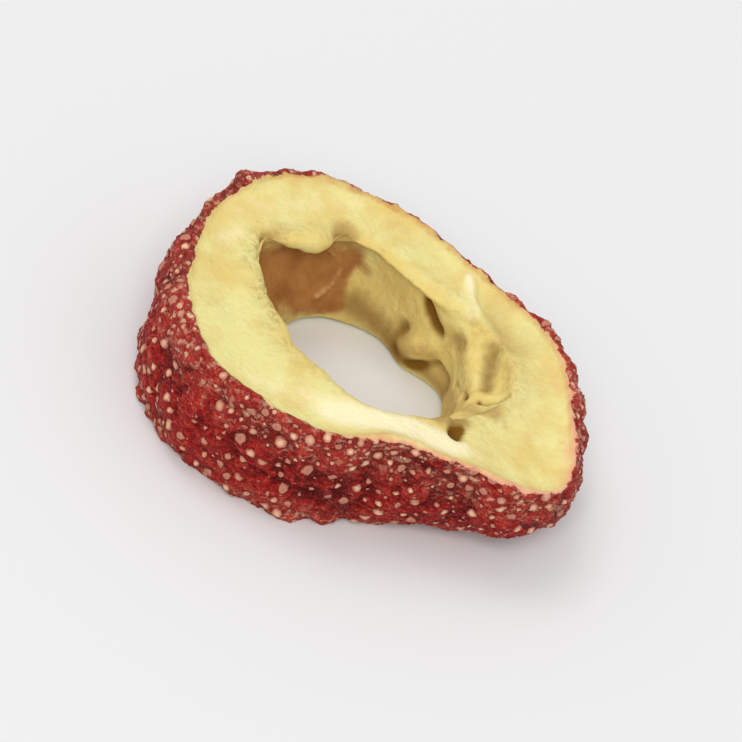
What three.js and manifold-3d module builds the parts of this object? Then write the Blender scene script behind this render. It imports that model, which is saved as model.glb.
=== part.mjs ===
// A dried hawthorn slice: one thick ring cut across the fruit, with its core punched out.
// It lies on its lower cut face. All sizes are millimetres, +Z is up, +X runs along the longest
// way across, and the origin is on the floor under the middle of the ring's box.
// The solid is a grid of sections round the ring. Each section is a closed smooth outline that
// runs down the skin, in under the base, up the wall of the hole and out over the upper cut face.
import * as THREE from "three";
import { mergeVertices } from "three/addons/utils/BufferGeometryUtils.js";
import Module from "manifold-3d";

// Where the hole's middle stands in the part's frame.
const HOLE_MIDDLE = { x: -0.5, y: -0.1 };
const HEIGHT = 7.0;

// Sixteen directions round the hole, 22.5 degrees apart, anticlockwise from +X seen from above.
// How far the upper cut face reaches from the hole's middle.
const FACE_REACH = [11.8, 10.7, 9.3, 8.6, 9.3, 10.5, 11.8, 12.1, 11.5, 11.2, 11.0, 10.2, 9.6, 8.8, 10.35, 13.5];
// How much the cut face stands above or below HEIGHT at its outer edge.
const FACE_RISE = [-0.6, -0.2, -0.2, -0.2, -0.1, 0.0, 0.35, 0.2, 0.0, -0.2, -0.2, -0.2, -0.2, 0.2, -0.2, -1.2];
// How far the skin bellies out past the cut face, half way down.
const BELLY = [1.5, 1.3, 1.2, 1.2, 1.1, 0.9, 0.6, 0.6, 0.9, 1.3, 1.2, 0.9, 0.6, 0.6, 0.65, 0.4];
// How far the base reaches past the cut face, or short of it below zero.
const BASE_SPREAD = [-0.7, 0.1, 0.2, 0.3, 0.2, 0.1, -0.1, -0.2, 0.1, 0.4, 0.3, -0.2, -0.5, -0.7, -2.15, -4.3];
// The hole's mouth in the upper face, and its outline near the base.
const MOUTH_REACH = [8.0, 7.4, 6.4, 5.5, 5.9, 7.3, 7.2, 8.4, 6.9, 5.5, 5.2, 4.9, 5.5, 6.1, 6.3, 7.0];
const THROAT_REACH = [5.2, 5.4, 6.0, 5.4, 6.3, 6.8, 6.6, 6.4, 6.0, 5.4, 5.3, 5.2, 5.3, 5.5, 5.4, 5.2];
// How far the seed pockets hollow the wall between mouth and throat.
const POCKET = [0.0, 0.0, 0.0, 0.2, 0.5, 0.9, 1.4, 1.0, 0.8, 0.5, 0.4, 0.5, 0.6, 0.5, 0.2, 0.0];
// How far a shelf of flesh stands into the mouth, and how far it lies below the mouth's edge.
const SHELF = [2.0, 1.6, 0.7, 0.0, 0.0, 0.0, 0.0, 0.0, 0.0, 0.0, 0.0, 0.0, 0.0, 0.0, 0.5, 1.3];
const SHELF_DROP = [1.4, 1.3, 1.0, 0.7, 0.7, 0.7, 0.7, 0.7, 0.7, 0.7, 0.7, 0.7, 0.7, 0.7, 0.9, 1.2];

// Edges of the section, and the hollows that drying leaves.
const EDGE = 0.35;
const RIM_LIP = 0.3;
const FACE_SAG = 0.3;
const MOUTH_SAG = 0.35;
const BASE_HOLLOW = 0.3;
const SHELF_SLOPE = 0.25;
const SHELF_WALL = 0.9;
// How much of the rim's rise the mouth's edge follows.
const MOUTH_FOLLOWS = 0.4;
// Heights of the section's turning points, as shares of the ring's height.
const SHOULDER_AT = 0.78;
const BELLY_AT = 0.5;
const WAIST_AT = 0.24;
const POCKET_FOOT_AT = 0.26;
const POCKET_BACK_AT = 0.48;

// Lumps of the skin with sharp creases between them, and waves of the flesh: spacing and depth.
const SKIN_DENT = { spacing: 4.2, depth: 0.42 };
const SKIN_LUMP = { spacing: 2.3, depth: 0.34, power: 0.8, middle: 0.45 };
const FLESH_WAVE = { spacing: 3.1, depth: 0.16 };

// Marks that coring and drying left, most in the hole's wall and edge. Each runs between two
// points, given from the hole's middle, and is a furrow or pit of that width and depth, or a ridge
// below zero.
const MARKS = [
  { name: "slit in the back wall", from: [1.8, 5.4, 5.3], to: [3.2, 4.8, 4.1], wide: 0.36, deep: 0.42 },
  { name: "round dent beside it", from: [4.35, 4.0, 4.6], to: [4.6, 3.85, 4.9], wide: 0.62, deep: 0.42 },
  { name: "small dent low in the wall", from: [1.3, 5.9, 2.5], to: [1.3, 5.9, 2.5], wide: 0.55, deep: 0.32 },
  { name: "recess in the shelf", from: [6.2, 3.4, 5.7], to: [6.7, 1.0, 5.1], wide: 0.55, deep: 0.35 },
  { name: "crack across the shelf", from: [5.6, 1.1, 3.8], to: [6.6, -0.3, 4.8], wide: 0.2, deep: 0.45 },
  { name: "crack into the face", from: [6.6, -0.3, 4.8], to: [7.9, -0.1, 6.0], wide: 0.2, deep: 0.45 },
  { name: "deep pit at the mouth's edge", from: [6.1, -4.7, 6.3], to: [6.1, -4.7, 6.3], wide: 0.42, deep: 0.8 },
  { name: "knob beside that pit", from: [5.3, -4.1, 6.3], to: [5.3, -4.1, 6.3], wide: 0.45, deep: -0.3 },
  { name: "ridge where the face bends", from: [3.5, 7.1, 6.5], to: [4.8, 4.6, 6.5], wide: 0.4, deep: -0.35 },
  { name: "dip beyond that ridge", from: [5.1, 6.0, 6.5], to: [6.9, 3.9, 6.5], wide: 1.1, deep: 0.4 },
  { name: "lip low in the back wall", from: [1.6, 5.4, 1.8], to: [3.1, 4.7, 2.8], wide: 0.55, deep: -0.4 },
  { name: "hollow under that lip", from: [2.4, 4.95, 0.8], to: [3.6, 4.25, 2.0], wide: 0.38, deep: 0.4 },
  { name: "end of that hollow", from: [3.6, 4.25, 2.0], to: [4.8, 3.8, 1.6], wide: 0.38, deep: 0.4 },
  { name: "tongue over the seed pocket", from: [-6.2, 4.2, 6.4], to: [-5.2, 5.0, 6.4], wide: 0.8, deep: -0.45 },
  { name: "notch left of the tongue", from: [-7.7, 3.5, 6.5], to: [-7.7, 3.5, 6.5], wide: 0.5, deep: 0.45 },
  { name: "notch right of the tongue", from: [-3.9, 6.2, 6.4], to: [-3.9, 6.2, 6.4], wide: 0.6, deep: 0.55 },
  { name: "peak of the rim", from: [-10.1, 6.3, 7.3], to: [-10.1, 6.3, 7.3], wide: 0.7, deep: -0.45 },
];

// Raised pale corky spots of the skin. The rule places them all, the largest first, and the solid
// holds the first of them.
const SPOTS = { placed: 620, built: 90, tries: 8000, largest: 0.36, smallest: 0.1, shrink: 0.55 };
// They crowd in some places: the share that is kept there, how far it swings, and how wide a crowd is.
const SPOT_CROWD = { kept: 0.62, swing: 0.9, spacing: 6 };
const SPOT_SIDES = 6;
const SPOT_PROUD = 0.2;
const SPOT_GAP = { share: 1.12, least: 0.12, floor: 0.15 };
// The part of the section that spots sit on.
const SPOTS_FROM = 0.2;
const SPOTS_TO = 5.7;

// Steps of the grid round the ring, and between two turning points of the section.
const ROUND_STEPS = 96;
const STEPS_ON = { skin: 3, base: 1, wall: 2, face: 2 };
const FULL_TURN = 2 * Math.PI;

// Weights of four neighbouring values, at a share of the way from the second to the third, for a
// curve that passes through its values.
function passingWeights(t) {
  return [
    (-t + 2 * t * t - t * t * t) / 2,
    (2 - 5 * t * t + 3 * t * t * t) / 2,
    (t + 4 * t * t - 3 * t * t * t) / 2,
    (-t * t + t * t * t) / 2,
  ];
}

// The same for a curve that rounds off its corners.
function roundingWeights(t) {
  return [
    (1 - t) ** 3 / 6,
    (4 - 6 * t * t + 3 * t * t * t) / 6,
    (1 + 3 * t + 3 * t * t - 3 * t * t * t) / 6,
    (t * t * t) / 6,
  ];
}

// A closed list of numbers read at any place along it.
function readRound(values, place, weights) {
  const first = Math.floor(place);
  const share = weights(place - first);
  const count = values.length;
  return share.reduce((sum, weight, k) => sum + weight * values[(((first + k - 1) % count) + count) % count], 0);
}

function byDirection(values, angle) {
  return readRound(values, (angle / FULL_TURN) * values.length, passingWeights);
}

function mix(a, b, share) {
  return a + (b - a) * share;
}

// A repeatable number from 0 to 1 for three whole numbers.
function scatter(i, j, k) {
  let h = (Math.imul(i, 374761393) + Math.imul(j, 668265263) + Math.imul(k, 1442695041)) | 0;
  h = Math.imul(h ^ (h >>> 13), 1274126177);
  h = Math.imul(h ^ (h >>> 15), 461845907);
  return ((h ^ (h >>> 16)) >>> 0) / 4294967296;
}

// Smooth noise from -1 to 1: a slope in a repeatable direction at each lattice corner, blended.
function noise(p, spacing) {
  const [x, y, z] = [p.x / spacing, p.y / spacing, p.z / spacing];
  const [i, j, k] = [Math.floor(x), Math.floor(y), Math.floor(z)];
  const ease = (t) => t * t * t * (t * (6 * t - 15) + 10);
  let sum = 0;
  for (const a of [0, 1])
    for (const b of [0, 1])
      for (const c of [0, 1]) {
        const [dx, dy, dz] = [x - i - a, y - j - b, z - k - c];
        const turn = FULL_TURN * scatter(i + a, j + b, k + c);
        const up = 2 * scatter(j + b, k + c, i + a + 7) - 1;
        const flat = Math.sqrt(1 - up * up);
        const slope = dx * flat * Math.cos(turn) + dy * flat * Math.sin(turn) + dz * up;
        const weight = (a ? ease(x - i) : 1 - ease(x - i)) * (b ? ease(y - j) : 1 - ease(y - j));
        sum += slope * weight * (c ? ease(z - k) : 1 - ease(z - k));
      }
  return 1.6 * sum;
}

// The section's sizes in one direction.
function sectionSizes(angle) {
  const face = byDirection(FACE_REACH, angle);
  const top = HEIGHT + byDirection(FACE_RISE, angle);
  const mouth = byDirection(MOUTH_REACH, angle);
  const mouthTop = mix(HEIGHT, top, MOUTH_FOLLOWS) - MOUTH_SAG;
  return {
    face,
    top,
    mouth,
    mouthTop,
    belly: face + byDirection(BELLY, angle),
    base: face + byDirection(BASE_SPREAD, angle),
    throat: byDirection(THROAT_REACH, angle),
    pocket: byDirection(POCKET, angle),
    lip: mouth - byDirection(SHELF, angle),
    lipTop: mouthTop - byDirection(SHELF_DROP, angle),
  };
}

// The section's outline as [reach, height] points for a rounding curve, in four runs.
function skinPoints({ face, top, belly, base }) {
  return [
    [face, top + RIM_LIP],
    [face + EDGE, top - EDGE],
    [mix(face, belly, 0.75), SHOULDER_AT * top],
    [belly, BELLY_AT * top],
    [mix(base, belly, 0.7), WAIST_AT * top],
    [base + EDGE, EDGE],
  ];
}

function basePoints({ base, throat }) {
  return [
    [base, -EDGE],
    [mix(base, throat, 1 / 3), -BASE_HOLLOW / 3],
    [mix(base, throat, 2 / 3), BASE_HOLLOW / 2],
    [throat + EDGE, 0],
  ];
}

function wallPoints({ top, throat, pocket, lip, lipTop, mouth, mouthTop }) {
  return [
    [throat, 2 * EDGE],
    [throat + 0.3 * pocket, POCKET_FOOT_AT * top],
    [mix(throat, lip, 0.45) + pocket, POCKET_BACK_AT * top],
    [lip - 0.3 * EDGE + 0.8 * pocket, lipTop - SHELF_WALL],
    [lip + 0.35 * pocket, lipTop],
    [mouth - EDGE, lipTop + SHELF_SLOPE],
    [mouth - 0.25 * EDGE, mouthTop - 0.8 * EDGE],
  ];
}

function facePoints({ face, top, mouth, mouthTop }) {
  const middle = mix(mouth, face, 0.5);
  return [
    [mouth + EDGE, mouthTop + 0.15 * EDGE],
    [middle, mix(mouthTop, top, 0.5) - FACE_SAG],
    [mix(middle, face, 0.6), top - 0.75 * FACE_SAG],
    [face - EDGE, top - 0.25 * RIM_LIP],
  ];
}

function sectionPoints(angle) {
  const sizes = sectionSizes(angle);
  return [...skinPoints(sizes), ...basePoints(sizes), ...wallPoints(sizes), ...facePoints(sizes)];
}

const POINT_COUNT = sectionPoints(0).length;

// The smooth ring before its relief: a point for an angle and a place along the section.
function smoothPoint(angle, place) {
  const points = sectionPoints(angle);
  const reach = readRound(points.map((p) => p[0]), place, roundingWeights);
  const height = readRound(points.map((p) => p[1]), place, roundingWeights);
  return new THREE.Vector3(
    HOLE_MIDDLE.x + reach * Math.cos(angle),
    HOLE_MIDDLE.y + reach * Math.sin(angle),
    height,
  );
}

// The way out of the surface there, from two short steps along it.
function outward(angle, place) {
  const step = 0.01;
  const round = smoothPoint(angle + step, place).sub(smoothPoint(angle - step, place));
  const along = smoothPoint(angle, place + step).sub(smoothPoint(angle, place - step));
  return along.cross(round).normalize();
}

// Where the skin's relief starts on the rim and ends under the base, as places of the section,
// and over how long a stretch it fades.
const RELIEF_FROM = -0.35;
const RELIEF_TO = 6.6;
const RELIEF_FADE = 0.9;

// How fully a place belongs to the skin, from 0 on the flesh to 1.
function skinShare(place) {
  const from = place > POINT_COUNT - 1 ? place - POINT_COUNT : place;
  const fade = (away) => THREE.MathUtils.smoothstep(away, 0, RELIEF_FADE);
  return fade(from - RELIEF_FROM) * fade(RELIEF_TO - from);
}

// How deep a mark is at a point: full on its line, gone a few widths away.
function markDepth(mark, point) {
  const [start, end] = [mark.from, mark.to].map(
    ([x, y, z]) => new THREE.Vector3(HOLE_MIDDLE.x + x, HOLE_MIDDLE.y + y, z),
  );
  const nearest = new THREE.Line3(start, end).closestPointToPoint(point, true, new THREE.Vector3());
  const away = (start.equals(end) ? start : nearest).distanceTo(point) / mark.wide;
  return mark.deep * Math.exp(-away * away);
}

// How far the surface stands out or in at a point of the smooth ring.
function relief(point, place) {
  const dent = SKIN_DENT.depth * noise(point, SKIN_DENT.spacing);
  const roundness = Math.abs(2 * noise(point, SKIN_LUMP.spacing)) ** SKIN_LUMP.power;
  const lump = SKIN_LUMP.depth * (roundness - SKIN_LUMP.middle);
  const wave = FLESH_WAVE.depth * noise(point, FLESH_WAVE.spacing);
  const marks = MARKS.reduce((sum, mark) => sum + markDepth(mark, point), 0);
  return mix(wave, dent + lump, skinShare(place)) - marks;
}

function surfacePoint(angle, place) {
  const point = smoothPoint(angle, place);
  point.addScaledVector(outward(angle, place), relief(point, place));
  point.z = Math.max(point.z, 0);
  return point;
}

// The places along the section where the grid has a vertex.
function gridPlaces() {
  const sizes = sectionSizes(0);
  const runs = [
    [skinPoints(sizes).length, STEPS_ON.skin],
    [basePoints(sizes).length, STEPS_ON.base],
    [wallPoints(sizes).length, STEPS_ON.wall],
    [facePoints(sizes).length, STEPS_ON.face],
  ];
  const places = [];
  let first = 0;
  for (const [length, steps] of runs) {
    for (let k = 0; k < length * steps; k++) places.push(first + k / steps);
    first += length;
  }
  return places;
}

// The ring itself: the section points of every angle, joined into a closed grid of triangles.
function ringGeometry() {
  const places = gridPlaces();
  const along = places.length;
  const vertices = [];
  const triangles = [];
  for (let i = 0; i < ROUND_STEPS; i++)
    for (let j = 0; j < along; j++) {
      vertices.push(...surfacePoint((FULL_TURN * i) / ROUND_STEPS, places[j]).toArray());
      const a = i * along + j;
      const b = i * along + ((j + 1) % along);
      const c = ((i + 1) % ROUND_STEPS) * along + j;
      const d = ((i + 1) % ROUND_STEPS) * along + ((j + 1) % along);
      triangles.push(a, b, c, b, d, c);
    }
  const geometry = new THREE.BufferGeometry();
  geometry.setAttribute("position", new THREE.Float32BufferAttribute(vertices, 3));
  geometry.setIndex(triangles);
  return geometry;
}

// Where the corky spots sit on the skin: each clear of the ones before it and of the floor.
function spotPlaces() {
  const places = [];
  for (let k = 0; k < SPOTS.tries && places.length < SPOTS.built; k++) {
    const angle = FULL_TURN * scatter(k, 11, 3);
    const place = mix(SPOTS_FROM, SPOTS_TO, scatter(k, 23, 5));
    const radius = mix(SPOTS.largest, SPOTS.smallest, (places.length / SPOTS.placed) ** SPOTS.shrink);
    const centre = smoothPoint(angle, place);
    const kept = scatter(k, 37, 9) < SPOT_CROWD.kept + SPOT_CROWD.swing * noise(centre, SPOT_CROWD.spacing);
    const clear = (other) =>
      other.centre.distanceTo(centre) > SPOT_GAP.share * (radius + other.radius) + SPOT_GAP.least;
    if (kept && centre.z > radius + SPOT_GAP.floor && places.every(clear))
      places.push({ angle, place, radius, centre });
  }
  return places;
}

// One spot: a low six-sided cone, half sunk in the skin.
function spotGeometry({ angle, place, radius }) {
  const spot = new THREE.SphereGeometry(1, SPOT_SIDES, 2);
  spot.rotateX(Math.PI / 2);
  spot.scale(radius, radius, SPOT_PROUD);
  const up = new THREE.Vector3(0, 0, 1);
  spot.applyQuaternion(new THREE.Quaternion().setFromUnitVectors(up, outward(angle, place)));
  spot.translate(...surfacePoint(angle, place).toArray());
  return spot;
}

const wasm = await Module();
wasm.setup();

function toSolid(geometry) {
  const bare = geometry.clone();
  bare.deleteAttribute("normal");
  bare.deleteAttribute("uv");
  const merged = mergeVertices(bare, 1e-4);
  return new wasm.Manifold(
    new wasm.Mesh({
      numProp: 3,
      vertProperties: merged.attributes.position.array,
      triVerts: new Uint32Array(merged.index.array),
    }),
  );
}

function toGeometry(solid) {
  const mesh = solid.getMesh();
  const geometry = new THREE.BufferGeometry();
  geometry.setAttribute("position", new THREE.BufferAttribute(mesh.vertProperties, 3));
  geometry.setIndex(new THREE.BufferAttribute(mesh.triVerts, 1));
  geometry.computeVertexNormals();
  return geometry;
}

function sliceGeometry() {
  const spots = spotPlaces().map((spot) => toSolid(spotGeometry(spot)));
  return toGeometry(spots.reduce((ring, spot) => ring.add(spot), toSolid(ringGeometry())));
}

const driedFruit = new THREE.MeshStandardMaterial({ color: 0xa3222b, roughness: 0.62, metalness: 0 });

const slice = new THREE.Mesh(sliceGeometry(), driedFruit);
slice.name = "hawthorn_slice";

const group = new THREE.Group();
group.add(slice);

export default group;
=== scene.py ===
"""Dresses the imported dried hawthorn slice: a dense model of its skin and flesh, and a plain studio.

Lengths in the shape classes are millimetres, as on a drawing, and one scale turns them to metres.
"""

import logging
import math
from dataclasses import dataclass, field
from enum import Enum
from functools import partial
from typing import Callable

import bpy
import numpy as np
from mathutils import Matrix, Vector


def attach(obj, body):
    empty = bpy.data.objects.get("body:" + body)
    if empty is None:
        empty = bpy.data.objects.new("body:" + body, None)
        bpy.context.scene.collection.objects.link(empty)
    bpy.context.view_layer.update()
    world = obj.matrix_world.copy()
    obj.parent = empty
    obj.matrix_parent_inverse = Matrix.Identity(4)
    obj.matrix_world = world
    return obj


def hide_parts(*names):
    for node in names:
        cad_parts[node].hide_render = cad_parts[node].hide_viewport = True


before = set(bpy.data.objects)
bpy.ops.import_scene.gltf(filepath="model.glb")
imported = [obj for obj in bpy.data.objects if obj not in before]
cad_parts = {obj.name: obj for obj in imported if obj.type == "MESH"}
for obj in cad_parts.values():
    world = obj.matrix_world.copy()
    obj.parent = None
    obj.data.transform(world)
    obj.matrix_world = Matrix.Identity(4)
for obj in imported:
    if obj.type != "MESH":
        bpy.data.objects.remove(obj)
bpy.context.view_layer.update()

log = logging.getLogger("hawthorn")

NODE = "hawthorn_slice"
BODY = "root"
MM = 0.001
FULL_TURN = 2 * math.pi

Number = float | np.ndarray
Values = tuple[float, ...]
Pair = tuple[float, float]
Point = tuple[float, float, float]
Colour = tuple[float, float, float, float]
Weights = Callable[[np.ndarray], list[np.ndarray]]
Socket = bpy.types.NodeSocket

# whole numbers that stir a lattice corner's own numbers until no pattern is left
STIR_AXES = (374761393, 668265263, 1442695041)
STIR_ROUNDS = ((13, 1274126177), (15, 461845907))
STIR_END = 16
LOW_BITS = 0xFFFFFFFF
# moves to another corner for a second number that differs from the first
SECOND_DRAW = 7
# brings the noise to about -1 and 1
NOISE_REACH = 1.6


def mix(a: Number, b: Number, share: Number) -> Number:
    """Value at a share of the way from a to b."""
    return a + (b - a) * share


def ease_between(x: Number, low: float, high: float) -> Number:
    """Smooth step from 0 at low to 1 at high, which may be the lower of the two."""
    t = np.clip((x - low) / (high - low), 0.0, 1.0)
    return t * t * (3 - 2 * t)


def scatter(i: Number, j: Number, k: Number) -> Number:
    """Repeatable numbers from 0 to 1 for three arrays of whole numbers.

    Args:
        i: First whole numbers.
        j: Second whole numbers.
        k: Third whole numbers.

    Returns:
        One number from 0 to 1 for each.
    """
    total = sum(np.asarray(v).astype(np.int64) * axis for v, axis in zip((i, j, k), STIR_AXES))
    h = (total & LOW_BITS).astype(np.uint64)
    for shift, factor in STIR_ROUNDS:
        h = ((h ^ (h >> np.uint64(shift))) * np.uint64(factor)) & np.uint64(LOW_BITS)
    return (h ^ (h >> np.uint64(STIR_END))).astype(float) / 2**32


def noise(points: np.ndarray, spacing: float, shift: float = 0.0) -> np.ndarray:
    """Smooth noise from about -1 to 1: blended slopes in a repeatable direction at lattice corners.

    Args:
        points: Places in millimetres, with x, y and z in the last axis.
        spacing: Lattice spacing in millimetres.
        shift: Moves the lattice, so that two noises of one spacing differ.

    Returns:
        One value for each place.
    """
    scaled = (points + shift) / spacing
    cell = np.floor(scaled).astype(np.int64)
    inside = scaled - cell
    eased = inside**3 * (inside * (6 * inside - 15) + 10)
    total = np.zeros(points.shape[:-1])
    for corner in np.ndindex(2, 2, 2):
        i, j, k = (cell[..., n] + corner[n] for n in range(3))
        turn = FULL_TURN * scatter(i, j, k)
        up = 2 * scatter(j, k, i + SECOND_DRAW) - 1
        flat = np.sqrt(1 - up * up)
        dx, dy, dz = (inside[..., n] - corner[n] for n in range(3))
        slope = dx * flat * np.cos(turn) + dy * flat * np.sin(turn) + dz * up
        weight = np.prod([eased[..., n] if corner[n] else 1 - eased[..., n] for n in range(3)], axis=0)
        total += slope * weight
    return NOISE_REACH * total


def passing_weights(t: np.ndarray) -> list[np.ndarray]:
    """Weights of four neighbours, for a curve that passes through its values.

    Args:
        t: Shares of the way from the second neighbour to the third.

    Returns:
        Four arrays of weights.
    """
    return [
        (-t + 2 * t * t - t**3) / 2,
        (2 - 5 * t * t + 3 * t**3) / 2,
        (t + 4 * t * t - 3 * t**3) / 2,
        (-t * t + t**3) / 2,
    ]


def rounding_weights(t: np.ndarray) -> list[np.ndarray]:
    """Weights of four neighbours, for a curve that rounds off its corners.

    Args:
        t: Shares of the way from the second neighbour to the third.

    Returns:
        Four arrays of weights.
    """
    return [
        (1 - t) ** 3 / 6,
        (4 - 6 * t * t + 3 * t**3) / 6,
        (1 + 3 * t + 3 * t * t - 3 * t**3) / 6,
        t**3 / 6,
    ]


def read_round(values: np.ndarray, places: np.ndarray, weights_of: Weights) -> np.ndarray:
    """Reads a closed list at any places along it.

    Args:
        values: The list, along the last axis.
        places: Places counted in its values.
        weights_of: Weights of the four values round a place.

    Returns:
        One value for each place.
    """
    first = np.floor(places).astype(int)
    weights = weights_of(places - first)
    return sum(weights[k] * values[..., (first + k - 1) % values.shape[-1]] for k in range(4))


class Run(Enum):
    """The four runs of the section's outline: turning points, and mesh steps between two of them."""

    SKIN = (6, 11)
    BASE = (4, 4)
    WALL = (7, 6)
    FACE = (4, 8)

    @property
    def points(self) -> int:
        """How many turning points the run has."""
        return self.value[0]

    @property
    def steps(self) -> int:
        """How many mesh steps lie between two of its turning points."""
        return self.value[1]


POINT_COUNT = sum(run.points for run in Run)


@dataclass(frozen=True)
class RingForm:
    """The smooth ring: a closed section whose sizes vary over sixteen directions round the hole.

    The directions are 22.5 degrees apart, anticlockwise from +X seen from above.
    """

    hole_middle: Pair = (-0.5, -0.1)
    height: float = 7.0
    # reach of the cut face from the hole's middle, and its rise over the height at that edge
    face_reach: Values = (
        11.8, 10.7, 9.3, 8.6, 9.3, 10.5, 11.8, 12.1,
        11.5, 11.2, 11.0, 10.2, 9.6, 8.8, 10.35, 13.5,
    )
    face_rise: Values = (
        -0.6, -0.2, -0.2, -0.2, -0.1, 0.0, 0.35, 0.2,
        0.0, -0.2, -0.2, -0.2, -0.2, 0.2, -0.2, -1.2,
    )
    # how far the skin bellies out past the face, and how far the base reaches past it
    belly: Values = (1.5, 1.3, 1.2, 1.2, 1.1, 0.9, 0.6, 0.6, 0.9, 1.3, 1.2, 0.9, 0.6, 0.6, 0.65, 0.4)
    base_spread: Values = (
        -0.7, 0.1, 0.2, 0.3, 0.2, 0.1, -0.1, -0.2,
        0.1, 0.4, 0.3, -0.2, -0.5, -0.7, -2.15, -4.3,
    )
    # the hole: its mouth, its foot, the seed pockets between, and the shelf of flesh in the mouth
    mouth_reach: Values = (8.0, 7.4, 6.4, 5.5, 5.9, 7.3, 7.2, 8.4, 6.9, 5.5, 5.2, 4.9, 5.5, 6.1, 6.3, 7.0)
    throat_reach: Values = (5.2, 5.4, 6.0, 5.4, 6.3, 6.8, 6.6, 6.4, 6.0, 5.4, 5.3, 5.2, 5.3, 5.5, 5.4, 5.2)
    pocket: Values = (0.0, 0.0, 0.0, 0.2, 0.5, 0.9, 1.4, 1.0, 0.8, 0.5, 0.4, 0.5, 0.6, 0.5, 0.2, 0.0)
    shelf: Values = (2.0, 1.6, 0.7, 0.0, 0.0, 0.0, 0.0, 0.0, 0.0, 0.0, 0.0, 0.0, 0.0, 0.0, 0.5, 1.3)
    shelf_drop: Values = (1.4, 1.3, 1.0, 0.7, 0.7, 0.7, 0.7, 0.7, 0.7, 0.7, 0.7, 0.7, 0.7, 0.7, 0.9, 1.2)
    # edges of the section, and the hollows that drying leaves
    edge: float = 0.35
    rim_lip: float = 0.3
    face_sag: float = 0.3
    mouth_sag: float = 0.35
    base_hollow: float = 0.3
    shelf_slope: float = 0.25
    shelf_wall: float = 0.9
    mouth_follows: float = 0.4
    # heights of turning points as shares of the ring's height
    shoulder_at: float = 0.78
    belly_at: float = 0.5
    waist_at: float = 0.24
    pocket_foot_at: float = 0.26
    pocket_back_at: float = 0.48
    # reaches of turning points as shares of the way between two sizes, or of the pocket's depth
    shoulder_out: float = 0.75
    waist_out: float = 0.7
    pocket_foot_out: float = 0.3
    pocket_back_out: float = 0.45
    pocket_brow_out: float = 0.8
    lip_out: float = 0.35
    middle_out: float = 0.5
    outer_out: float = 0.6
    # half the turn over which the ring's slopes are taken, in radians and in turning points
    slope_step: float = 0.01

    def by_direction(self, values: Values, angles: np.ndarray) -> np.ndarray:
        """Value of a list of sixteen at any angle, in radians."""
        return read_round(np.array(values), angles / FULL_TURN * len(values), passing_weights)

    def turning_points(self, angles: np.ndarray) -> tuple[np.ndarray, np.ndarray]:
        """Turning points of the section at each angle, in the order skin, base, wall, face.

        A plain factor before the edge, a sag, a lip or a hollow only rounds the corner there.

        Args:
            angles: Angles in radians.

        Returns:
            Reaches and heights, each with one row for an angle.
        """
        at = partial(self.by_direction, angles=angles)
        face, top = at(self.face_reach), self.height + at(self.face_rise)
        mouth, throat, pocket = at(self.mouth_reach), at(self.throat_reach), at(self.pocket)
        belly, base = face + at(self.belly), face + at(self.base_spread)
        mouth_top = mix(self.height, top, self.mouth_follows) - self.mouth_sag
        lip, lip_top = mouth - at(self.shelf), mouth_top - at(self.shelf_drop)
        middle, edge = mix(mouth, face, self.middle_out), self.edge
        skin = [
            (face, top + self.rim_lip),
            (face + edge, top - edge),
            (mix(face, belly, self.shoulder_out), self.shoulder_at * top),
            (belly, self.belly_at * top),
            (mix(base, belly, self.waist_out), self.waist_at * top),
            (base + edge, edge),
        ]
        under = [
            (base, -edge),
            (mix(base, throat, 1 / 3), -self.base_hollow / 3),
            (mix(base, throat, 2 / 3), self.base_hollow / 2),
            (throat + edge, 0.0),
        ]
        wall = [
            (throat, 2 * edge),
            (throat + self.pocket_foot_out * pocket, self.pocket_foot_at * top),
            (mix(throat, lip, self.pocket_back_out) + pocket, self.pocket_back_at * top),
            (lip - 0.3 * edge + self.pocket_brow_out * pocket, lip_top - self.shelf_wall),
            (lip + self.lip_out * pocket, lip_top),
            (mouth - edge, lip_top + self.shelf_slope),
            (mouth - 0.25 * edge, mouth_top - 0.8 * edge),
        ]
        cut = [
            (mouth + edge, mouth_top + 0.15 * edge),
            (middle, mix(mouth_top, top, 0.5) - self.face_sag),
            (mix(middle, face, self.outer_out), top - 0.75 * self.face_sag),
            (face - edge, top - 0.25 * self.rim_lip),
        ]
        points = skin + under + wall + cut
        reach = np.stack([p[0] for p in points], axis=1)
        height = np.stack([p[1] + 0.0 * angles for p in points], axis=1)
        return reach, height

    def smooth(self, angles: np.ndarray, places: np.ndarray) -> np.ndarray:
        """Points of the smooth ring.

        Args:
            angles: Angles round the hole, in radians.
            places: Places along the section, counted in turning points.

        Returns:
            An array of angles by places by x, y and z, in millimetres.
        """
        out, up = (read_round(values, places, rounding_weights) for values in self.turning_points(angles))
        x = self.hole_middle[0] + out * np.cos(angles)[:, None]
        y = self.hole_middle[1] + out * np.sin(angles)[:, None]
        return np.stack([x, y, up], axis=2)

    def outward(self, angles: np.ndarray, places: np.ndarray) -> np.ndarray:
        """Unit vectors out of the smooth ring.

        Args:
            angles: Angles round the hole, in radians.
            places: Places along the section.

        Returns:
            One unit vector for each grid point.
        """
        step = self.slope_step
        around = self.smooth(angles + step, places) - self.smooth(angles - step, places)
        along = self.smooth(angles, places + step) - self.smooth(angles, places - step)
        out = np.cross(along, around)
        return out / np.linalg.norm(out, axis=2, keepdims=True)


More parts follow.
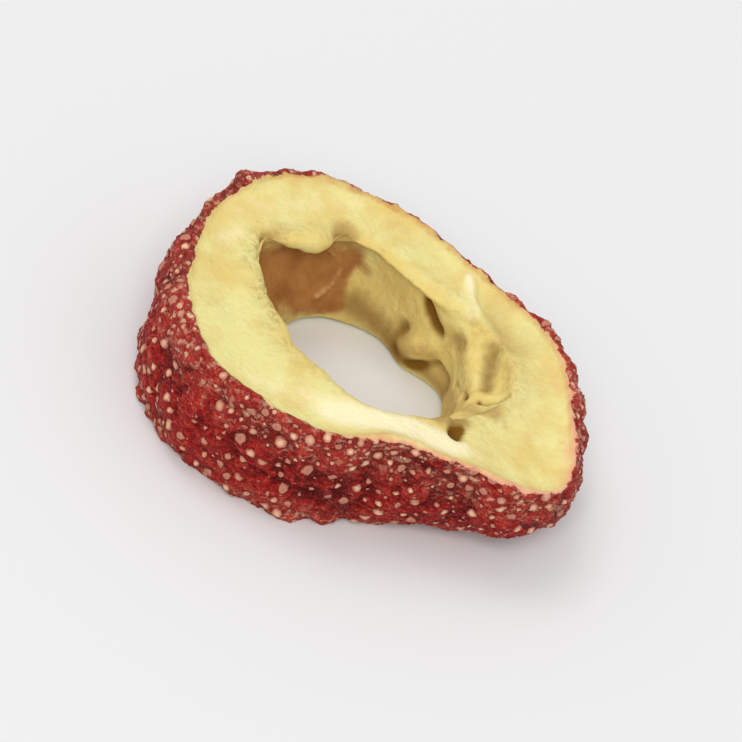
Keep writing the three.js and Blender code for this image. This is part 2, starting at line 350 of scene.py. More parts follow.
@dataclass(frozen=True)
class Mark:
    """A furrow or pit that coring or drying left, or a ridge if its depth is below zero.

    It runs between two points given from the hole's middle, and its bow is how far its middle
    stands off the straight line. It also says how brown it is, which at some marks is painted shade
    in a hollow, how much of a seed pocket's lining shows in it, and its tone: how far the flesh there
    goes to khaki, or to white below zero; at some marks the khaki is painted shade and the white a
    painted highlight.
    """

    start: Point
    end: Point
    wide: float
    deep: float
    stain_and_shade: float = 0.0
    lining: float = 0.0
    tone: float = 0.0
    bow: Point = (0.0, 0.0, 0.0)

    def share(self, points: np.ndarray, middle: Pair) -> np.ndarray:
        """How near each point is to the mark's line.

        Args:
            points: Places in millimetres.
            middle: The hole's middle.

        Returns:
            1 on the line, falling to 0 a few widths away.
        """
        shift = np.array([*middle, 0.0])
        start, end = np.array(self.start) + shift, np.array(self.end) + shift
        line = end - start
        length = float(line @ line)
        along = np.clip(((points - start) @ line) / length, 0, 1) if length else np.zeros(points.shape[:-1])
        along = along[..., None]
        nearest = start + along * line + 4 * along * (1 - along) * np.array(self.bow)
        away = np.linalg.norm(points - nearest, axis=-1) / self.wide
        return np.exp(-away * away)


# forms that the solid has too
SOLID_MARKS: dict[str, Mark] = {
    # its brown is partly real and partly painted shade in the slit
    "slit in the back wall": Mark((1.8, 5.4, 5.3), (3.2, 4.8, 4.1), 0.36, 0.42, stain_and_shade=1.05),
    "round dent beside it": Mark((4.35, 4.0, 4.6), (4.6, 3.85, 4.9), 0.62, 0.42, stain_and_shade=0.25, tone=0.5),
    "small dent low in the wall": Mark((1.3, 5.9, 2.5), (1.3, 5.9, 2.5), 0.55, 0.32, stain_and_shade=0.75, tone=0.5),
    "recess in the shelf": Mark((6.2, 3.4, 5.7), (6.7, 1.0, 5.1), 0.55, 0.35, stain_and_shade=0.72, tone=0.4),
    "crack across the shelf": Mark((5.6, 1.1, 3.8), (6.6, -0.3, 4.8), 0.2, 0.45, stain_and_shade=0.6),
    "crack into the face": Mark((6.6, -0.3, 4.8), (7.9, -0.1, 6.0), 0.2, 0.45, stain_and_shade=0.35),
    "deep pit at the mouth's edge": Mark((6.1, -4.7, 6.3), (6.1, -4.7, 6.3), 0.42, 0.8, stain_and_shade=1.6),
    "knob beside that pit": Mark((5.3, -4.1, 6.3), (5.3, -4.1, 6.3), 0.45, -0.3, tone=0.3),
    # its white tone is a painted highlight where the face bends
    "ridge where the face bends": Mark((3.5, 7.1, 6.5), (4.8, 4.6, 6.5), 0.4, -0.35, tone=-0.5),
    # its khaki tone is painted shade where the face dips away from the ridge
    "dip beyond that ridge": Mark((5.1, 6.0, 6.5), (6.9, 3.9, 6.5), 1.1, 0.4, tone=0.6),
    "lip low in the back wall": Mark((1.6, 5.4, 1.8), (3.1, 4.7, 2.8), 0.55, -0.4, tone=0.8),
    # their brown is painted shadow in the hollow under the lip
    "hollow under that lip": Mark((2.4, 4.95, 0.8), (3.6, 4.25, 2.0), 0.38, 0.4, stain_and_shade=1.1),
    "end of that hollow": Mark((3.6, 4.25, 2.0), (4.8, 3.8, 1.6), 0.38, 0.4, stain_and_shade=0.42),
    "tongue over the seed pocket": Mark((-6.2, 4.2, 6.4), (-5.2, 5.0, 6.4), 0.8, -0.45),
    "notch left of the tongue": Mark((-7.7, 3.5, 6.5), (-7.7, 3.5, 6.5), 0.5, 0.45, stain_and_shade=0.1, tone=0.9),
    "notch right of the tongue": Mark((-3.9, 6.2, 6.4), (-3.9, 6.2, 6.4), 0.6, 0.55, stain_and_shade=0.1, tone=1.0),
    "peak of the rim": Mark((-10.1, 6.3, 7.3), (-10.1, 6.3, 7.3), 0.7, -0.45),
}

# forms too fine for the solid
FINE_MARKS: dict[str, Mark] = {
    # its pale tone is a painted highlight on the fold's crest
    "fold of the lining": Mark(
        (-4.36, 6.76, 4.78), (-4.0, 6.1, 1.95), 0.24, -0.2, tone=-1.3, bow=(0.82, 0.5, 0.15)),
    # its brown is a painted shade line beside the fold
    "furrow beside the fold": Mark(
        (-4.7, 6.54, 4.78), (-4.34, 5.88, 1.95), 0.2, 0.1, stain_and_shade=0.25, bow=(0.82, 0.5, 0.15)),
    "crack down to the shelf": Mark((5.1, 2.6, 3.1), (5.84, 1.25, 3.6), 0.2, 0.3, stain_and_shade=0.9),
    "dark line of the crack": Mark((5.6, 1.0, 3.7), (6.6, -0.2, 5.05), 0.13, 0.06, stain_and_shade=0.5),
    "dark end of the crack": Mark(
        (6.6, -0.2, 5.05), (7.85, 0.1, 5.8), 0.12, 0.06, stain_and_shade=0.4, bow=(0.1, -0.1, -0.1)),
    "branch of the crack": Mark(
        (7.5, -0.8, 5.6), (8.5, -2.4, 6.05), 0.2, 0.06, stain_and_shade=0.45, bow=(0.1, 0.1, 0.1)),
    "upper edge of the pit": Mark((6.0, -4.5, 6.3), (6.3, -4.15, 6.2), 0.24, 0.15, stain_and_shade=1.0),
}

# stretches of the flesh that only differ in colour, some by their own colour and some by painted shade and
# painted highlights
COLOUR_MARKS: dict[str, Mark] = {
    "near corner of the lining": Mark(
        (-5.5, 4.2, 1.8), (-5.0, 4.2, 0.4), 0.5, 0.0, stain_and_shade=0.3, lining=-0.5, tone=0.6),
    "olive in the left notch": Mark(
        (-7.26, 4.2, 6.7), (-7.25, 4.6, 5.5), 0.85, 0.0, lining=-0.95, tone=0.65),
    "olive in the right notch": Mark(
        (-4.0, 6.6, 6.7), (-3.6, 7.0, 5.5), 0.9, 0.0, stain_and_shade=0.4, lining=-0.7, tone=0.9),
    "shade under the tongue": Mark((-6.5, 5.1, 4.7), (-4.7, 6.5, 4.8), 0.35, 0.0, stain_and_shade=0.6),
    "brown foot of the back wall": Mark((-1.9, 6.7, 1.8), (1.0, 5.8, 1.0), 1.2, 0.0, stain_and_shade=0.68, tone=1.0),
    # brown, partly painted shade at the foot under the lip
    "brown foot under the lip, with painted shade": Mark(
        (1.5, 5.4, 1.1), (4.6, 3.7, 0.9), 0.55, 0.0, stain_and_shade=0.5, lining=0.15, tone=0.8, bow=(0.0, 0.3, -0.1)),
    # painted shade beside the slit
    "painted shade beside the slit": Mark((2.0, 5.25, 5.0), (2.7, 4.9, 4.4), 0.5, 0.0, stain_and_shade=0.5, tone=0.5),
    "brown round the dent": Mark((3.95, 4.1, 4.4), (4.5, 3.7, 4.9), 0.85, 0.0, stain_and_shade=0.18, tone=0.6),
    "shelf": Mark((5.6, 3.6, 5.3), (6.5, 1.0, 4.8), 1.5, 0.0, tone=0.15),
    "wall below the shelf": Mark((4.5, 4.0, 1.3), (5.2, 1.6, 2.2), 1.0, 0.0, stain_and_shade=0.12, tone=1.0),
    "foot of the shelf": Mark((5.2, 0.4, 2.4), (4.9, -2.2, 3.6), 0.9, 0.0, stain_and_shade=0.2, tone=0.8),
    # painted shade below the crack
    "painted shade below the crack": Mark((6.2, -1.1, 5.0), (7.5, -1.7, 6.0), 0.65, 0.0, stain_and_shade=0.3, tone=1.0),
    "brown round the knob": Mark((5.0, -4.3, 6.4), (6.2, -3.5, 6.15), 0.65, 0.0, stain_and_shade=0.5, tone=1.0),
    # painted highlights on the near strip of the face
    "painted highlight on the near strip": Mark((-0.5, -7.4, 6.8), (6.0, -5.8, 6.4), 0.95, 0.0, tone=-0.75),
    "long painted highlight on the near strip": Mark((-5.0, -7.4, 6.8), (8.5, -5.6, 6.3), 1.1, 0.0, tone=-0.38),
    # painted highlight where the face bends
    "painted highlight where the face bends": Mark((3.2, 7.1, 6.7), (4.4, 4.4, 6.1), 0.65, 0.0, tone=-0.38),
    "upper right part of the face": Mark((-1.5, 8.6, 6.8), (2.2, 7.6, 6.7), 1.2, 0.0, tone=0.35),
    "right part of the face": Mark((8.6, 4.0, 6.6), (9.8, -3.5, 6.2), 2.0, 0.0, tone=0.32),
    "left part of the face": Mark((-10.3, -0.2, 6.7), (-9.0, -2.6, 6.5), 1.3, 0.0, tone=0.3),
    "pale left part of the face": Mark((-10.2, 1.7, 6.7), (-9.4, 2.7, 6.7), 0.8, 0.0, tone=-0.45),
    "far left part of the face": Mark((-10.0, 4.5, 7.0), (-4.0, 9.0, 7.0), 1.0, 0.0, tone=-0.3),
}

MARKS: dict[str, Mark] = SOLID_MARKS | FINE_MARKS | COLOUR_MARKS


@dataclass(frozen=True)
class CorkSpots:
    """The raised pale spots of the skin: a seeded rule places them, the largest first."""

    placed: int = 620
    tries: int = 8000
    largest: float = 0.36
    smallest: float = 0.1
    shrink: float = 0.55
    # they crowd in some places: the share kept there, how far it swings, and how wide a crowd is
    crowd_kept: float = 0.62
    crowd_swing: float = 0.9
    crowd_spacing: float = 6.0
    gap_share: float = 1.12
    gap_least: float = 0.12
    gap_floor: float = 0.15
    first_place: float = 0.2
    last_place: float = 5.7
    # seeds of the draws for a try's angle and place, for keeping it, and for a spot's own look
    angle_seed: tuple[int, int] = (11, 3)
    place_seed: tuple[int, int] = (23, 5)
    kept_seed: tuple[int, int] = (37, 9)
    own_seed: tuple[int, int] = (41, 2)
    # the disc: its height, how that varies from spot to spot, and its soft edge in radii
    proud: float = 0.11
    proud_range: Pair = (0.75, 1.15)
    disc_edge: Pair = (0.45, 1.3)
    # the crater: its depth, the own numbers from which a spot has one, and its soft edge in radii
    crater: float = 0.4
    crater_own: Pair = (0.35, 0.7)
    crater_edge: Pair = (0.1, 0.6)

    def place(self, form: RingForm) -> tuple[np.ndarray, np.ndarray]:
        """Places the spots, each clear of the ones before it and of the floor.

        Args:
            form: The smooth ring that they sit on.

        Returns:
            Middles in millimetres and radii.
        """
        middles, radii = np.zeros((0, 3)), np.zeros(0)
        for k in range(self.tries):
            if len(radii) == self.placed:
                break
            angle = FULL_TURN * float(scatter(k, *self.angle_seed))
            place = mix(self.first_place, self.last_place, float(scatter(k, *self.place_seed)))
            radius = mix(self.largest, self.smallest, (len(radii) / self.placed) ** self.shrink)
            middle = form.smooth(np.array([angle]), np.array([place]))[0, 0]
            crowd = self.crowd_kept + self.crowd_swing * noise(middle, self.crowd_spacing)
            kept = scatter(k, *self.kept_seed) < crowd
            apart = np.linalg.norm(middles - middle, axis=1)
            clear = np.all(apart > self.gap_share * (radii + radius) + self.gap_least)
            if kept and clear and middle[2] > radius + self.gap_floor:
                middles, radii = np.vstack([middles, middle]), np.append(radii, radius)
        return middles, radii

    def nearest(self, form: RingForm, points: np.ndarray) -> tuple[np.ndarray, np.ndarray, np.ndarray]:
        """Finds the nearest spot of each point, counted in that spot's radii.

        Args:
            form: The smooth ring.
            points: Places on it, in millimetres.

        Returns:
            Distance in radii, 0 in the middle and 1 at the edge, the offset that it is the length
            of, and a number from 0 to 1 that is the spot's own.
        """
        far = 3.0
        best, own = np.full(points.shape[:-1], far), np.zeros(points.shape[:-1])
        offset = np.full(points.shape, far)
        for index, (middle, radius) in enumerate(zip(*self.place(form))):
            from_middle = (points - middle) / radius
            away = np.linalg.norm(from_middle, axis=-1)
            closer = away < best
            best = np.where(closer, away, best)
            offset = np.where(closer[..., None], from_middle, offset)
            own = np.where(closer, float(scatter(index, *self.own_seed)), own)
        return best, offset, own

    def height(self, away: np.ndarray, own: np.ndarray) -> np.ndarray:
        """Height of the spots: a low disc with a soft edge and, on some, a crater in the middle.

        Args:
            away: Distance from the nearest spot, in its radii.
            own: That spot's own number.

        Returns:
            Heights in millimetres.
        """
        disc = 1 - ease_between(away, *self.disc_edge)
        inside = 1 - ease_between(away, *self.crater_edge)
        crater = self.crater * ease_between(own, *self.crater_own) * inside
        return self.proud * mix(*self.proud_range, own) * (disc - crater)


@dataclass(frozen=True)
class Wave:
    """A swell of the surface: its spacing, its depth, and a shift that sets its noise apart."""

    spacing: float
    depth: float = 1.0
    shift: float = 0.0

    def swell(self, points: np.ndarray) -> np.ndarray:
        """Its noise at each point, from about -1 to 1."""
        return noise(points, self.spacing, self.shift)

    def height(self, points: np.ndarray) -> np.ndarray:
        """Its height at each point, in millimetres."""
        return self.depth * self.swell(points)


@dataclass(frozen=True)
class SkinRelief:
    """Wrinkles of the dried skin, from broad dents to fine folds."""

    dent: Wave = Wave(4.2, 0.42)
    lump: Wave = Wave(2.3, 0.34)
    lump_power: float = 0.8
    lump_middle: float = 0.45
    # folds and threads, how sharp their crests are, and the share of a crest that counts as level
    fold: Wave = Wave(1.15, 0.12, 31.7)
    thread: Wave = Wave(0.55, 0.09, 11.3)
    crest_sharp: float = 2.2
    crest_middle: float = 0.4
    # they bend about, by one noise for each axis
    bend: float = 0.45
    bends: tuple[Wave, ...] = (Wave(1.4, shift=17.0), Wave(1.4, shift=29.0), Wave(1.4, shift=43.0))
    # drying flattens the wrinkles, so they run along the ring
    flatten: float = 1.9
    starts: float = -0.35
    ends: float = 6.6
    fade: float = 0.9

    def share(self, places: np.ndarray) -> np.ndarray:
        """How fully each place belongs to the skin.

        Args:
            places: Places along the section.

        Returns:
            Shares from 0 on the flesh to 1 on the skin.
        """
        counted = np.where(places > POINT_COUNT - 1, places - POINT_COUNT, places)
        from_start = ease_between(counted - self.starts, 0, self.fade)
        return from_start * ease_between(self.ends - counted, 0, self.fade)

    def broad(self, points: np.ndarray) -> np.ndarray:
        """Dents and lumps, which the solid has too."""
        lump = np.abs(2 * self.lump.swell(points)) ** self.lump_power - self.lump_middle
        return self.dent.height(points) + self.lump.depth * lump

    def crests(self, wave: Wave, points: np.ndarray) -> np.ndarray:
        """Height of sharp crests where a wave's noise crosses zero."""
        crest = np.maximum(1 - np.abs(self.crest_sharp * wave.swell(points)), 0) ** 2
        return wave.depth * (crest - self.crest_middle)

    def fine(self, points: np.ndarray) -> np.ndarray:
        """Folds and threads: sharp ridges that bend about, as in crumpled leather.

        Args:
            points: Places in millimetres.

        Returns:
            Heights in millimetres.
        """
        level = points * (1, 1, self.flatten)
        bent = level + self.bend * np.stack([wave.swell(level) for wave in self.bends], axis=-1)
        return self.crests(self.fold, bent) + self.crests(self.thread, bent)


@dataclass(frozen=True)
class FleshRelief:
    """Surface of the dried flesh: slow waves, a mealy grain, knobs and crumbs.

    Knobs and crumbs carry smaller ones, whose depth is a share of theirs.
    """

    wave: Wave = Wave(3.1, 0.16)
    ripple: Wave = Wave(1.0, 0.045, 5.1)
    grain: Wave = Wave(0.42, 0.022, 7.7)
    knob: Wave = Wave(0.75, 0.07, 23.5)
    small_knob: Wave = Wave(0.375, 0.5, 27.9)
    crumb: Wave = Wave(0.62, 0.17, 13.3)
    small_crumb: Wave = Wave(0.31, 0.6, 19.1)

    def broad(self, points: np.ndarray) -> np.ndarray:
        """Waves, which the solid has too."""
        return self.wave.height(points)

    def fine(self, points: np.ndarray, rough: np.ndarray, torn: np.ndarray) -> np.ndarray:
        """Ripples and grain, with knobs where the flesh is rough and crumbs where it is torn.

        Args:
            points: Places in millimetres.
            rough: How rough the flesh is there.
            torn: How torn it is.

        Returns:
            Heights in millimetres.
        """
        even = self.ripple.height(points) + self.grain.height(points)
        crumbs = self.crumb.swell(points) + self.small_crumb.height(points)
        knobs = self.knob.swell(points) + self.small_knob.height(points)
        return even + self.knob.depth * rough * knobs + self.crumb.depth * torn * crumbs


@dataclass(frozen=True)
class SeedPocket:
    """A seed pocket's stretch of the hole's wall, with its tough brown lining.

    It runs from the first to the last angle, in degrees, and from the foot to the brow, which are
    places along the section.
    """

    first: float
    last: float
    strength: float
    foot: float = 10.9
    brow: float = 15.3
    # half of the stretch over which the lining fades at each side
    first_fade: float = 4.5
    last_fade: float = 3.0
    foot_fade: float = 0.6
    brow_fade: float = 0.5
    # how far its outline wanders, in degrees round the hole and in places along the section
    wander_round: float = 6.0
    wander_along: float = 0.4

    def share(self, angles: np.ndarray, places: np.ndarray, ragged: np.ndarray) -> np.ndarray:
        """How fully each grid point is covered by the lining.

        Args:
            angles: Angles round the hole, in radians.
            places: Places along the section.
            ragged: Noise that makes its outline wander.

        Returns:
            Shares from 0 to the pocket's strength.
        """
        turn = np.degrees(angles)[:, None] + self.wander_round * ragged
        along = places[None, :] + self.wander_along * ragged
        past_first = ease_between(turn, self.first - self.first_fade, self.first + self.first_fade)
        before_last = ease_between(turn, self.last + self.last_fade, self.last - self.last_fade)
        above_foot = ease_between(along, self.foot - self.foot_fade, self.foot + self.foot_fade)
        below_brow = ease_between(along, self.brow + self.brow_fade, self.brow - self.brow_fade)
        return self.strength * past_first * before_last * above_foot * below_brow


def linear(code: str) -> Colour:
    """Turns an sRGB hex colour to linear light.

    Args:
        code: Six hex digits after a number sign.

    Returns:
        Red, green, blue and an alpha of 1.
    """
    parts = [int(code[k:k + 2], 16) / 255 for k in (1, 3, 5)]
    red, green, blue = (c / 12.92 if c <= 0.04045 else ((c + 0.055) / 1.055) ** 2.4 for c in parts)
    return red, green, blue, 1.0


def add(
    tree: bpy.types.NodeTree, kind: str, links: dict | None = None, **settings: object
) -> bpy.types.Node:
    """Adds a node, with its settings and its inputs.

    Args:
        tree: The node tree.
        kind: The node's type, without ShaderNode before it.
        links: Inputs by name or number, each a socket to link from or a value to set.
        settings: The node's own settings.

    Returns:
        The node.
    """
    node = tree.nodes.new("ShaderNode" + kind)
    for name, value in settings.items():
        setattr(node, name, value)
    for key, value in (links or {}).items():
        if isinstance(value, Socket):
            tree.links.new(value, node.inputs[key])
        else:
            node.inputs[key].default_value = value
    return node


@dataclass(frozen=True)
class Pattern:
    """Blotches of a finish: how many millimetres apart, and how finely and roughly they break up.

    The shift sets a pattern apart from others of its spacing.
    """

    spacing: float
    detail: float = 2.0
    shift: float = 0.0
    rough: float = 0.5


@dataclass(frozen=True)
class Dots:
    """Small dots of a finish: the spacing of their cells, a shift, and how wide the widest are."""

    spacing: float
    shift: float = 0.0
    widest: float = 0.26
    # how much narrower the narrowest are, which leaves about half of the cells bare
    narrower: float = 0.09
    # how far outside and inside its outline a dot fades, counted in cells
    edge: Pair = (0.04, -0.03)


@dataclass(frozen=True)
class Net:
    """Ridges of a finish round bent cells: how many millimetres apart, and a shift."""

    spacing: float
    shift: float = 0.0
    # the noise that bends the cells, and how far it does, counted in cells
    bend_every: float = 0.8
    bend: float = 1.6
    # how far a ridge reaches to either side of its crest, in cells
    ridge: float = 0.2


@dataclass(frozen=True)
class Cover:
    """How a layer comes in: where it starts, which may be the higher value, and where it is full.

    Its strength is how far it hides what is below it there.
    """

    start: float
    full: float
    strength: float = 1.0


@dataclass
class Graph:
    """Short sums on sockets, so that a finish reads as a recipe.

    Its patterns are flattened by a number of times, so that they run along the ring.
    """

    tree: bpy.types.NodeTree
    flatten: float = 1.0

    def fact(self, name: str) -> Socket:
        """A point attribute of the mesh."""
        return add(self.tree, "Attribute", attribute_name=name).outputs["Fac"]

    def length(self, name: str) -> Socket:
        """Length of a vector attribute of the mesh."""
        vector = add(self.tree, "Attribute", attribute_name=name).outputs["Vector"]
        return add(self.tree, "VectorMath", {0: vector}, operation="LENGTH").outputs["Value"]

    def step(self, value: Socket, low: float, high: float) -> Socket:
        """A smooth step of a socket.

        Args:
            value: The socket.
            low: Where the step is 0.
            high: Where it is 1, which may be the lower of the two.

        Returns:
            The step, from 0 to 1.
        """
        inputs = {"Value": value, "From Min": min(low, high), "From Max": max(low, high)}
        ends = {"To Min": 0.0, "To Max": 1.0} if low < high else {"To Min": 1.0, "To Max": 0.0}
        return add(self.tree, "MapRange", inputs | ends, interpolation_type="SMOOTHSTEP").outputs["Result"]

    def sum(self, operation: str, a: Socket | float, b: Socket | float = 0.0) -> Socket:
        """Two numbers joined by a Math node."""
        return add(self.tree, "Math", {0: a, 1: b}, operation=operation).outputs[0]

    def times(self, a: Socket | float, b: Socket | float) -> Socket:
        """Product of two numbers."""
        return self.sum("MULTIPLY", a, b)

    def plus(self, a: Socket | float, b: Socket | float) -> Socket:
        """Sum of two numbers."""
        return self.sum("ADD", a, b)

    def without(self, share: Socket) -> Socket:
        """What a share leaves of 1."""
        return self.sum("SUBTRACT", 1.0, share)

    def blend(self, share: Socket, a: Socket | Colour, b: Socket | Colour) -> Socket:
        """Two colours mixed by a share, in the colour sockets 6, 7 and 2 of a Mix node."""
        return add(self.tree, "Mix", {0: share, 6: a, 7: b}, data_type="RGBA").outputs[2]

    def place(self, shift: float = 0.0) -> Socket:
        """Place on the piece.

        Args:
            shift: Moves it by this many millimetres along each axis.

        Returns:
            The place, flattened as the graph is.
        """
        here = add(self.tree, "TexCoord").outputs["Object"]
        inputs = {"Vector": here, "Location": (shift * MM,) * 3, "Scale": (1.0, 1.0, self.flatten)}
        return add(self.tree, "Mapping", inputs).outputs[0]

    def grain(self, pattern: Pattern) -> Socket:
        """A pattern's noise, from 0 to 1.

        Args:
            pattern: The pattern.

        Returns:
            The noise.
        """
        inputs = {"Vector": self.place(pattern.shift), "Scale": 1 / (pattern.spacing * MM)}
        inputs |= {"Detail": pattern.detail, "Roughness": pattern.rough}
        return add(self.tree, "TexNoise", inputs).outputs["Fac"]

    def wander(self, pattern: Pattern, reach: float) -> Socket:
        """A pattern's noise that swings about 0, by up to half of the reach to either side."""
        return self.times(self.plus(self.grain(pattern), -0.5), reach)

    def net(self, net: Net) -> Socket:
        """Branching ridges round bent cells.

        Args:
            net: Their spacing, shift and bend.

        Returns:
            1 on the crests and 0 between.
        """
        here, cell = self.place(net.shift), net.spacing * MM
        bend = add(self.tree, "TexNoise", {"Vector": here, "Scale": net.bend_every / cell, "Detail": 2.0})
        # a noise colour swings about grey, so grey is taken off it
        level = {0: bend.outputs["Color"], 1: (0.5, 0.5, 0.5)}
        level = add(self.tree, "VectorMath", level, operation="SUBTRACT").outputs[0]
        moved = {0: level, 1: (net.bend * net.spacing * MM,) * 3, 2: here}
        bent = add(self.tree, "VectorMath", moved, operation="MULTIPLY_ADD").outputs[0]
        cells = {"Vector": bent, "Scale": 1 / cell}
        edge = add(self.tree, "TexVoronoi", cells, feature="DISTANCE_TO_EDGE").outputs["Distance"]
        return self.step(edge, net.ridge, 0.0)

    def specks(self, dots: Dots) -> Socket:
        """Small dots in about half of the cells.

        Args:
            dots: Their spacing, shift and size.

        Returns:
            1 inside the dots and 0 between.
        """
        inputs = {"Vector": self.place(dots.shift), "Scale": 1 / (dots.spacing * MM)}
        cells = add(self.tree, "TexVoronoi", inputs)
        chosen = add(self.tree, "SeparateColor", {"Color": cells.outputs["Color"]}).outputs[0]
        size = self.plus(self.times(chosen, dots.widest), -dots.narrower)
        return self.step(self.sum("SUBTRACT", cells.outputs["Distance"], size), *dots.edge)

    def cover(self, value: Socket, cover: Cover, where: Socket | None = None) -> Socket:
        """Share of a layer.

        Args:
            value: The fact or pattern that the layer follows.
            cover: How it comes in.
            where: A share that holds it back, where there is one.

        Returns:
            The share, from 0 to the layer's strength.
        """
        share = self.step(value, cover.start, cover.full)
        if where is not None:
            share = self.times(share, where)
        return share if cover.strength == 1.0 else self.times(share, cover.strength)


@dataclass(frozen=True)
class DriedHawthornFinish:
    """Dried hawthorn: a fruit sliced fresh and dried slowly, so the skin wrinkles like leather.

    The skin gives the eye a dull waxy crimson, with painted shade that takes it to maroon in its
    creases and painted highlights that turn its ridges pink, and with pale corky spots. The cut flesh
    is matte and mealy, cream yellow, tan inside the hole, and stained pink where it meets the peel;
    painted shade and painted highlights lie in some of its hollows and bends. The seed pockets keep a
    tough brown lining.
    """

    crimson: str = "#B81A14"
    # maroon is painted shade in the skin's creases and between its wrinkles, and the colour of its dark pores
    maroon: str = "#580807"
    # painted highlight pink, on the wrinkles' crests, on fine flecks and over the band beside the cut
    highlight_pink: str = "#D0604E"
    brick: str = "#A4261A"
    spot_edge: str = "#5C0C0A"
    spot_disc: str = "#C8806A"
    spot_heart: str = "#E8C09A"
    spot_dull: str = "#B47A64"
    speck: str = "#E0A58A"
    cream: str = "#EAE098"
    straw: str = "#E4CC7E"
    # milk, which is also the painted highlight on the near strip and where the face bends
    milk: str = "#FCEFC2"
    # khaki, which is also painted shade where the face dips and below the crack
    khaki: str = "#CDB06C"
    wall_tan: str = "#E8CE7A"
    lining_tan: str = "#B67F46"
    lining_brown: str = "#996230"
    # painted highlight on the fold of the lining
    lining_fold_highlight: str = "#C8985E"
    # brown of stains, and painted shade in the slit, under the lip and in other shaded places
    stain_and_shade_brown: str = "#7E5818"
    crumb_olive: str = "#A88E4C"
    blush_pink: str = "#EBA88C"
    blush_rust: str = "#C07A44"
    # typical of a dry, slightly waxy fruit surface
    index: float = 1.45
    # about a third of the usual shine, as a wrinkled surface hides part of it
    shine: float = 0.18
    skin_roughness: float = 0.42
    cork_roughness: float = 0.8
    flesh_roughness: float = 0.85
    lining_roughness: float = 0.5
    # light seeps about a third of a millimetre into the flesh, and red goes the furthest
    seep: float = 0.14
    seep_reach: float = 0.35
    seep_colour: Point = (1.0, 0.45, 0.2)

    # drying flattens the skin's patterns, so they run along the ring
    flatten: float = 1.5
    # the skin's blotches are as wide as its lumps, and its cells, about a tenth of a millimetre
    # wide, are drawn at a quarter so that they show
    skin_blotches: Pattern = Pattern(1.8, 3.0)
    crest_highlight_breaks: Pattern = Pattern(1.4, 2.0, 9.0)
    skin_cells: Pattern = Pattern(0.26, 3.0, 50.0, 0.6)
    # wrinkles, most about half a millimetre apart: a wide net and a narrow one, and their shares
    wide_net: Net = Net(0.8)
    narrow_net: Net = Net(0.45, 13.0)
    wide_net_share: float = 0.55
    narrow_net_share: float = 0.45
    # flecks all over the skin, and the many in the crinkled band beside the cut
    wide_flecks: Dots = Dots(0.75, 4.0)
    narrow_flecks: Dots = Dots(0.45, 9.0)
    band_patches: Pattern = Pattern(2.0, 2.0, 70.0)
    band_crinkles: Pattern = Pattern(0.45, 4.0, 66.0, 0.55)
    band_wide_flecks: Dots = Dots(0.7, 64.0, 0.4)
    band_narrow_flecks: Dots = Dots(0.5, 68.0, 0.42)
    # a spot's outline is uneven by up to half of this many radii to either side
    spot_outline: Pattern = Pattern(0.3, 3.0)
    spot_wander: float = 0.95
    # between two spots the offsets blend to a short one, so this share of the distance is the least
    spot_least: float = 0.95
    # the torn edge of the peel wanders a few tenths of a millimetre to either side of the cut
    cut_outline: Pattern = Pattern(0.9, 4.0, 0.0, 0.55)
    cut_wander: float = 0.75
    cut_edge: Cover = Cover(-0.04, 0.05)
    # broad drifts of straw and cream, and the mealy grain of the flesh's cells
    flesh_drifts: Pattern = Pattern(2.8, 3.0)
    flesh_meal: Pattern = Pattern(0.35, 3.0)
    wall_drifts: Pattern = Pattern(2.2, 3.0, 20.0)
    tone_blotches: Pattern = Pattern(0.8, 3.0, 40.0)
    tone_wander: float = 0.5
    wall_blotches: Pattern = Pattern(0.5, 3.0, 33.0)
    wall_wander: float = 1.2
    crumb_blotches: Pattern = Pattern(0.45, 4.0, 90.0, 0.6)
    lining_blotches: Pattern = Pattern(1.3, 4.0)
    lining_outline: Pattern = Pattern(0.5, 3.0, 45.0)
    lining_wander: float = 0.4
    blush_patches: Pattern = Pattern(2.4, 2.0, 30.0)
    blush_raise: float = 0.3
    gloss_blotches: Pattern = Pattern(0.6, 3.0)
    gloss_wander: float = 0.3

    # the skin's layers, by how raised it is, by its patterns and by its net of wrinkles, with painted shade
    # in its low places and painted highlights on its crests
    crease_shade: Cover = Cover(-0.1, 0.5)
    brick_blotches: Cover = Cover(0.5, 0.75, 0.7)
    furrow_shade_strength: float = 0.5
    # the painted pink highlight on the net's crests
    crest: Cover = Cover(0.4, 1.0, 0.48)
    crest_highlight_rise: Cover = Cover(0.65, 1.2)
    cell_pores: Cover = Cover(0.46, 0.32, 0.55)
    cell_highlight_flecks: Cover = Cover(0.54, 0.68, 0.36)
    wide_fleck_strength: float = 0.75
    narrow_fleck_strength: float = 0.5
    # the crinkled band, by how many millimetres off the cut it is; its pink wash is a painted highlight
    band: Cover = Cover(3.2, 0.3)
    band_breaks: Cover = Cover(0.3, 0.54)
    band_highlight_strength: float = 0.25
    band_crinkle: Cover = Cover(0.52, 0.63, 0.7)
    band_fleck_strength: float = 0.85
    # the corky spots, by radii from their middle and by their own number, so that some are faint
    spot_border: Cover = Cover(1.6, 1.1, 0.45)
    disc: Cover = Cover(1.15, 0.75)
    disc_own: Cover = Cover(-0.7, 0.35)
    heart: Cover = Cover(0.85, 0.2)
    heart_own: Cover = Cover(-0.2, 0.4)
    dull_own: Cover = Cover(0.6, 0.8)
    # the flesh's layers, by its patterns, its tone and its stain, which carry painted highlights and painted
    # shade at some marks
    straw_drift: Cover = Cover(0.4, 0.66)
    straw_meal: Cover = Cover(0.48, 0.75, 0.3)
    tan_drift: Cover = Cover(0.2, 0.6, 0.85)
    khaki_tone: Cover = Cover(0.1, 1.0)
    milk_tone: Cover = Cover(-0.1, -0.9)
    crumbs: Cover = Cover(0.46, 0.64, 0.5)
